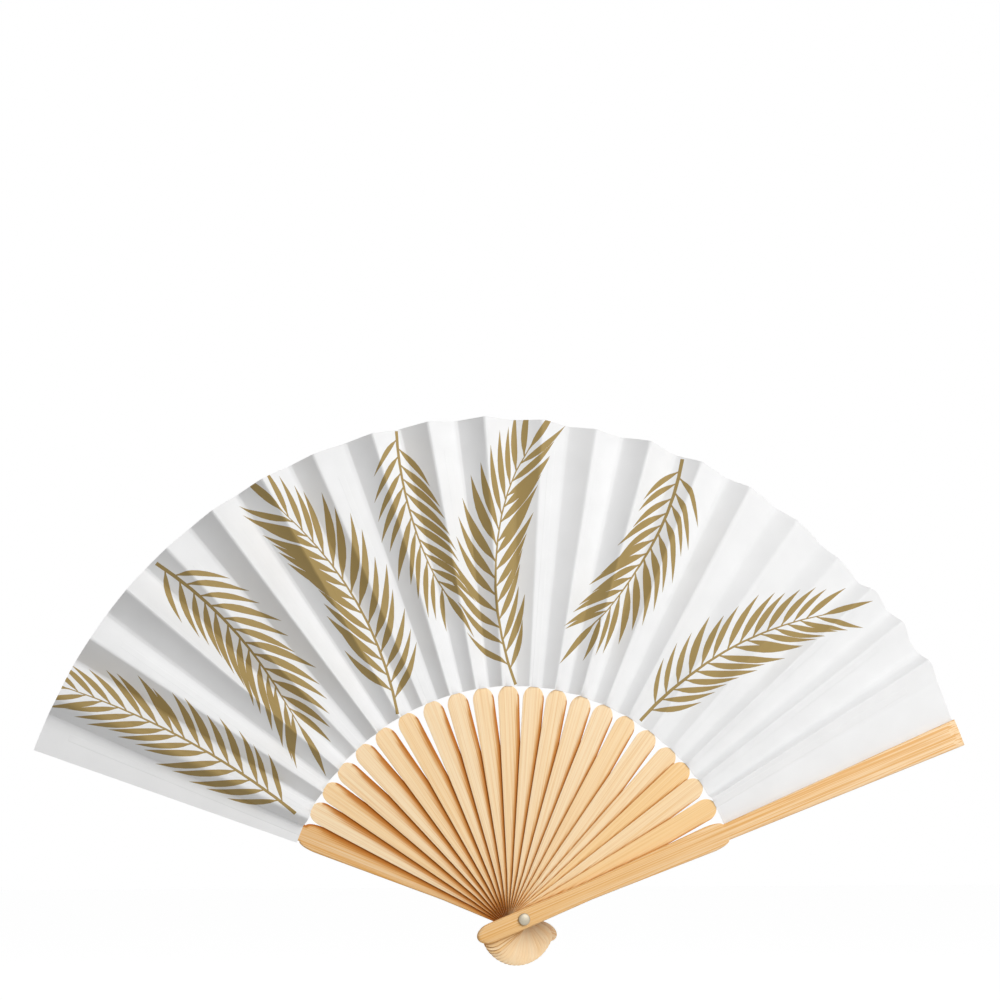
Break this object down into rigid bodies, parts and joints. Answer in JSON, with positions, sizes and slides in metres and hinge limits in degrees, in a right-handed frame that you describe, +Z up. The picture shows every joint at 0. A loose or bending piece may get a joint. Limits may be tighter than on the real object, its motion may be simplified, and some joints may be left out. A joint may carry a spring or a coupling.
{
  "type": "folding hand fan",
  "caption": "Folding hand fan: bamboo ribs and two thicker guard sticks turn on one rivet and fold a pleated paper leaf; shown open and upright.",
  "frame": {"origin": "on the rivet's axis, in the middle of the stack of sticks, where the hand holds the closed end", "axes": "+Z up along the middle of the open fan, +X across it towards the front guard, -Y out of the printed side, along the rivet"},
  "size_m": [0.393, 0.0252, 0.2273],
  "materials": {
    "bamboo": "sanded bamboo, unvarnished",
    "guard_bamboo": "sanded bamboo, unvarnished, long fibres showing",
    "paper": "matt white paper with a gold print",
    "nickel": "satin nickel plate"
  },
  "bodies": {
    "rear_guard": {"rear_guard": "guard_bamboo", "rivet_pin": "nickel", "rivet_washer": "nickel"},
    "rib_01": {"rib_01": "bamboo"},
    "rib_02": {"rib_02": "bamboo"},
    "rib_03": {"rib_03": "bamboo"},
    "rib_04": {"rib_04": "bamboo"},
    "rib_05": {"rib_05": "bamboo"},
    "rib_06": {"rib_06": "bamboo"},
    "rib_07": {"rib_07": "bamboo"},
    "rib_08": {"rib_08": "bamboo"},
    "rib_09": {"rib_09": "bamboo"},
    "rib_10": {"rib_10": "bamboo"},
    "rib_11": {"rib_11": "bamboo"},
    "rib_12": {"rib_12": "bamboo"},
    "rib_13": {"rib_13": "bamboo"},
    "rib_14": {"rib_14": "bamboo"},
    "rib_15": {"rib_15": "bamboo"},
    "rib_16": {"rib_16": "bamboo"},
    "rib_17": {"rib_17": "bamboo"},
    "rib_18": {"rib_18": "bamboo"},
    "rib_19": {"rib_19": "bamboo"},
    "rib_20": {"rib_20": "bamboo"},
    "front_guard": {"front_guard": "guard_bamboo"},
    "leaf_span_01": {"leaf_span_01": "paper"},
    "leaf_span_02": {"leaf_span_02": "paper"},
    "leaf_span_03": {"leaf_span_03": "paper"},
    "leaf_span_04": {"leaf_span_04": "paper"},
    "leaf_span_05": {"leaf_span_05": "paper"},
    "leaf_span_06": {"leaf_span_06": "paper"},
    "leaf_span_07": {"leaf_span_07": "paper"},
    "leaf_span_08": {"leaf_span_08": "paper"},
    "leaf_span_09": {"leaf_span_09": "paper"},
    "leaf_span_10": {"leaf_span_10": "paper"},
    "leaf_span_11": {"leaf_span_11": "paper"},
    "leaf_span_12": {"leaf_span_12": "paper"},
    "leaf_span_13": {"leaf_span_13": "paper"},
    "leaf_span_14": {"leaf_span_14": "paper"},
    "leaf_span_15": {"leaf_span_15": "paper"},
    "leaf_span_16": {"leaf_span_16": "paper"},
    "leaf_span_17": {"leaf_span_17": "paper"},
    "leaf_span_18": {"leaf_span_18": "paper"},
    "leaf_span_19": {"leaf_span_19": "paper"},
    "leaf_span_20": {"leaf_span_20": "paper"},
    "leaf_span_21": {"leaf_span_21": "paper"}
  },
  "joints": [
    {"name": "fold", "type": "hinge", "parent": "rear_guard", "child": "front_guard", "pos_m": [0, 0, 0], "axis": [0, -1, 0], "range_deg": [0, 136.5]},
    {"name": "rib_01_swing", "type": "hinge", "parent": "rear_guard", "child": "rib_01", "pos_m": [0, 0, 0], "axis": [0, -1, 0], "range_deg": [0, 6.45]},
    {"name": "rib_02_swing", "type": "hinge", "parent": "rear_guard", "child": "rib_02", "pos_m": [0, 0, 0], "axis": [0, -1, 0], "range_deg": [0, 12.45]},
    {"name": "rib_03_swing", "type": "hinge", "parent": "rear_guard", "child": "rib_03", "pos_m": [0, 0, 0], "axis": [0, -1, 0], "range_deg": [0, 18.75]},
    {"name": "rib_04_swing", "type": "hinge", "parent": "rear_guard", "child": "rib_04", "pos_m": [0, 0, 0], "axis": [0, -1, 0], "range_deg": [0, 25.35]},
    {"name": "rib_05_swing", "type": "hinge", "parent": "rear_guard", "child": "rib_05", "pos_m": [0, 0, 0], "axis": [0, -1, 0], "range_deg": [0, 31.95]},
    {"name": "rib_06_swing", "type": "hinge", "parent": "rear_guard", "child": "rib_06", "pos_m": [0, 0, 0], "axis": [0, -1, 0], "range_deg": [0, 38.95]},
    {"name": "rib_07_swing", "type": "hinge", "parent": "rear_guard", "child": "rib_07", "pos_m": [0, 0, 0], "axis": [0, -1, 0], "range_deg": [0, 46.15]},
    {"name": "rib_08_swing", "type": "hinge", "parent": "rear_guard", "child": "rib_08", "pos_m": [0, 0, 0], "axis": [0, -1, 0], "range_deg": [0, 52.85]},
    {"name": "rib_09_swing", "type": "hinge", "parent": "rear_guard", "child": "rib_09", "pos_m": [0, 0, 0], "axis": [0, -1, 0], "range_deg": [0, 59.65]},
    {"name": "rib_10_swing", "type": "hinge", "parent": "rear_guard", "child": "rib_10", "pos_m": [0, 0, 0], "axis": [0, -1, 0], "range_deg": [0, 66.35]},
    {"name": "rib_11_swing", "type": "hinge", "parent": "rear_guard", "child": "rib_11", "pos_m": [0, 0, 0], "axis": [0, -1, 0], "range_deg": [0, 72.95]},
    {"name": "rib_12_swing", "type": "hinge", "parent": "rear_guard", "child": "rib_12", "pos_m": [0, 0, 0], "axis": [0, -1, 0], "range_deg": [0, 79.15]},
    {"name": "rib_13_swing", "type": "hinge", "parent": "rear_guard", "child": "rib_13", "pos_m": [0, 0, 0], "axis": [0, -1, 0], "range_deg": [0, 85.65]},
    {"name": "rib_14_swing", "type": "hinge", "parent": "rear_guard", "child": "rib_14", "pos_m": [0, 0, 0], "axis": [0, -1, 0], "range_deg": [0, 91.95]},
    {"name": "rib_15_swing", "type": "hinge", "parent": "rear_guard", "child": "rib_15", "pos_m": [0, 0, 0], "axis": [0, -1, 0], "range_deg": [0, 98.45]},
    {"name": "rib_16_swing", "type": "hinge", "parent": "rear_guard", "child": "rib_16", "pos_m": [0, 0, 0], "axis": [0, -1, 0], "range_deg": [0, 105.15]},
    {"name": "rib_17_swing", "type": "hinge", "parent": "rear_guard", "child": "rib_17", "pos_m": [0, 0, 0], "axis": [0, -1, 0], "range_deg": [0, 112.05]},
    {"name": "rib_18_swing", "type": "hinge", "parent": "rear_guard", "child": "rib_18", "pos_m": [0, 0, 0], "axis": [0, -1, 0], "range_deg": [0, 117.35]},
    {"name": "rib_19_swing", "type": "hinge", "parent": "rear_guard", "child": "rib_19", "pos_m": [0, 0, 0], "axis": [0, -1, 0], "range_deg": [0, 122.75]},
    {"name": "rib_20_swing", "type": "hinge", "parent": "rear_guard", "child": "rib_20", "pos_m": [0, 0, 0], "axis": [0, -1, 0], "range_deg": [0, 129.15]},
    {"name": "leaf_span_01_swing", "type": "hinge", "parent": "rear_guard", "child": "leaf_span_01", "pos_m": [0, 0, 0], "axis": [0, -1, 0], "range_deg": [0, 3.25], "deforming": ["leaf_span_01"]},
    {"name": "leaf_span_02_swing", "type": "hinge", "parent": "rear_guard", "child": "leaf_span_02", "pos_m": [0, 0, 0], "axis": [0, -1, 0], "range_deg": [0, 9.45], "deforming": ["leaf_span_02"]},
    {"name": "leaf_span_03_swing", "type": "hinge", "parent": "rear_guard", "child": "leaf_span_03", "pos_m": [0, 0, 0], "axis": [0, -1, 0], "range_deg": [0, 15.6], "deforming": ["leaf_span_03"]},
    {"name": "leaf_span_04_swing", "type": "hinge", "parent": "rear_guard", "child": "leaf_span_04", "pos_m": [0, 0, 0], "axis": [0, -1, 0], "range_deg": [0, 22.05], "deforming": ["leaf_span_04"]},
    {"name": "leaf_span_05_swing", "type": "hinge", "parent": "rear_guard", "child": "leaf_span_05", "pos_m": [0, 0, 0], "axis": [0, -1, 0], "range_deg": [0, 28.65], "deforming": ["leaf_span_05"]},
    {"name": "leaf_span_06_swing", "type": "hinge", "parent": "rear_guard", "child": "leaf_span_06", "pos_m": [0, 0, 0], "axis": [0, -1, 0], "range_deg": [0, 35.45], "deforming": ["leaf_span_06"]},
    {"name": "leaf_span_07_swing", "type": "hinge", "parent": "rear_guard", "child": "leaf_span_07", "pos_m": [0, 0, 0], "axis": [0, -1, 0], "range_deg": [0, 42.55], "deforming": ["leaf_span_07"]},
    {"name": "leaf_span_08_swing", "type": "hinge", "parent": "rear_guard", "child": "leaf_span_08", "pos_m": [0, 0, 0], "axis": [0, -1, 0], "range_deg": [0, 49.5], "deforming": ["leaf_span_08"]},
    {"name": "leaf_span_09_swing", "type": "hinge", "parent": "rear_guard", "child": "leaf_span_09", "pos_m": [0, 0, 0], "axis": [0, -1, 0], "range_deg": [0, 56.25], "deforming": ["leaf_span_09"]},
    {"name": "leaf_span_10_swing", "type": "hinge", "parent": "rear_guard", "child": "leaf_span_10", "pos_m": [0, 0, 0], "axis": [0, -1, 0], "range_deg": [0, 63], "deforming": ["leaf_span_10"]},
    {"name": "leaf_span_11_swing", "type": "hinge", "parent": "rear_guard", "child": "leaf_span_11", "pos_m": [0, 0, 0], "axis": [0, -1, 0], "range_deg": [0, 69.65], "deforming": ["leaf_span_11"]},
    {"name": "leaf_span_12_swing", "type": "hinge", "parent": "rear_guard", "child": "leaf_span_12", "pos_m": [0, 0, 0], "axis": [0, -1, 0], "range_deg": [0, 76.05], "deforming": ["leaf_span_12"]},
    {"name": "leaf_span_13_swing", "type": "hinge", "parent": "rear_guard", "child": "leaf_span_13", "pos_m": [0, 0, 0], "axis": [0, -1, 0], "range_deg": [0, 82.4], "deforming": ["leaf_span_13"]},
    {"name": "leaf_span_14_swing", "type": "hinge", "parent": "rear_guard", "child": "leaf_span_14", "pos_m": [0, 0, 0], "axis": [0, -1, 0], "range_deg": [0, 88.8], "deforming": ["leaf_span_14"]},
    {"name": "leaf_span_15_swing", "type": "hinge", "parent": "rear_guard", "child": "leaf_span_15", "pos_m": [0, 0, 0], "axis": [0, -1, 0], "range_deg": [0, 95.2], "deforming": ["leaf_span_15"]},
    {"name": "leaf_span_16_swing", "type": "hinge", "parent": "rear_guard", "child": "leaf_span_16", "pos_m": [0, 0, 0], "axis": [0, -1, 0], "range_deg": [0, 101.8], "deforming": ["leaf_span_16"]},
    {"name": "leaf_span_17_swing", "type": "hinge", "parent": "rear_guard", "child": "leaf_span_17", "pos_m": [0, 0, 0], "axis": [0, -1, 0], "range_deg": [0, 108.6], "deforming": ["leaf_span_17"]},
    {"name": "leaf_span_18_swing", "type": "hinge", "parent": "rear_guard", "child": "leaf_span_18", "pos_m": [0, 0, 0], "axis": [0, -1, 0], "range_deg": [0, 114.7], "deforming": ["leaf_span_18"]},
    {"name": "leaf_span_19_swing", "type": "hinge", "parent": "rear_guard", "child": "leaf_span_19", "pos_m": [0, 0, 0], "axis": [0, -1, 0], "range_deg": [0, 120.05], "deforming": ["leaf_span_19"]},
    {"name": "leaf_span_20_swing", "type": "hinge", "parent": "rear_guard", "child": "leaf_span_20", "pos_m": [0, 0, 0], "axis": [0, -1, 0], "range_deg": [0, 125.95], "deforming": ["leaf_span_20"]},
    {"name": "leaf_span_21_swing", "type": "hinge", "parent": "rear_guard", "child": "leaf_span_21", "pos_m": [0, 0, 0], "axis": [0, -1, 0], "range_deg": [0, 132.85], "deforming": ["leaf_span_21"]}
  ],
  "couplings": [
    {"joint": "rib_01_swing", "follows": "fold", "ratio": 0.046886},
    {"joint": "rib_02_swing", "follows": "fold", "ratio": 0.090842},
    {"joint": "rib_03_swing", "follows": "fold", "ratio": 0.137},
    {"joint": "rib_04_swing", "follows": "fold", "ratio": 0.18535},
    {"joint": "rib_05_swing", "follows": "fold", "ratio": 0.2337},
    {"joint": "rib_06_swing", "follows": "fold", "ratio": 0.28498},
    {"joint": "rib_07_swing", "follows": "fold", "ratio": 0.33773},
    {"joint": "rib_08_swing", "follows": "fold", "ratio": 0.38681},
    {"joint": "rib_09_swing", "follows": "fold", "ratio": 0.43663},
    {"joint": "rib_10_swing", "follows": "fold", "ratio": 0.48571},
    {"joint": "rib_11_swing", "follows": "fold", "ratio": 0.53407},
    {"joint": "rib_12_swing", "follows": "fold", "ratio": 0.57949},
    {"joint": "rib_13_swing", "follows": "fold", "ratio": 0.62711},
    {"joint": "rib_14_swing", "follows": "fold", "ratio": 0.67326},
    {"joint": "rib_15_swing", "follows": "fold", "ratio": 0.72088},
    {"joint": "rib_16_swing", "follows": "fold", "ratio": 0.76996},
    {"joint": "rib_17_swing", "follows": "fold", "ratio": 0.82051},
    {"joint": "rib_18_swing", "follows": "fold", "ratio": 0.85934},
    {"joint": "rib_19_swing", "follows": "fold", "ratio": 0.8989},
    {"joint": "rib_20_swing", "follows": "fold", "ratio": 0.94579},
    {"joint": "leaf_span_01_swing", "follows": "fold", "ratio": 0.023443},
    {"joint": "leaf_span_02_swing", "follows": "fold", "ratio": 0.068864},
    {"joint": "leaf_span_03_swing", "follows": "fold", "ratio": 0.11392},
    {"joint": "leaf_span_04_swing", "follows": "fold", "ratio": 0.16117},
    {"joint": "leaf_span_05_swing", "follows": "fold", "ratio": 0.20952},
    {"joint": "leaf_span_06_swing", "follows": "fold", "ratio": 0.25934},
    {"joint": "leaf_span_07_swing", "follows": "fold", "ratio": 0.31136},
    {"joint": "leaf_span_08_swing", "follows": "fold", "ratio": 0.36227},
    {"joint": "leaf_span_09_swing", "follows": "fold", "ratio": 0.41172},
    {"joint": "leaf_span_10_swing", "follows": "fold", "ratio": 0.46117},
    {"joint": "leaf_span_11_swing", "follows": "fold", "ratio": 0.50989},
    {"joint": "leaf_span_12_swing", "follows": "fold", "ratio": 0.55678},
    {"joint": "leaf_span_13_swing", "follows": "fold", "ratio": 0.6033},
    {"joint": "leaf_span_14_swing", "follows": "fold", "ratio": 0.65018},
    {"joint": "leaf_span_15_swing", "follows": "fold", "ratio": 0.69707},
    {"joint": "leaf_span_16_swing", "follows": "fold", "ratio": 0.74542},
    {"joint": "leaf_span_17_swing", "follows": "fold", "ratio": 0.79524},
    {"joint": "leaf_span_18_swing", "follows": "fold", "ratio": 0.83993},
    {"joint": "leaf_span_19_swing", "follows": "fold", "ratio": 0.87912},
    {"joint": "leaf_span_20_swing", "follows": "fold", "ratio": 0.92234},
    {"joint": "leaf_span_21_swing", "follows": "fold", "ratio": 0.97289}
  ]
}
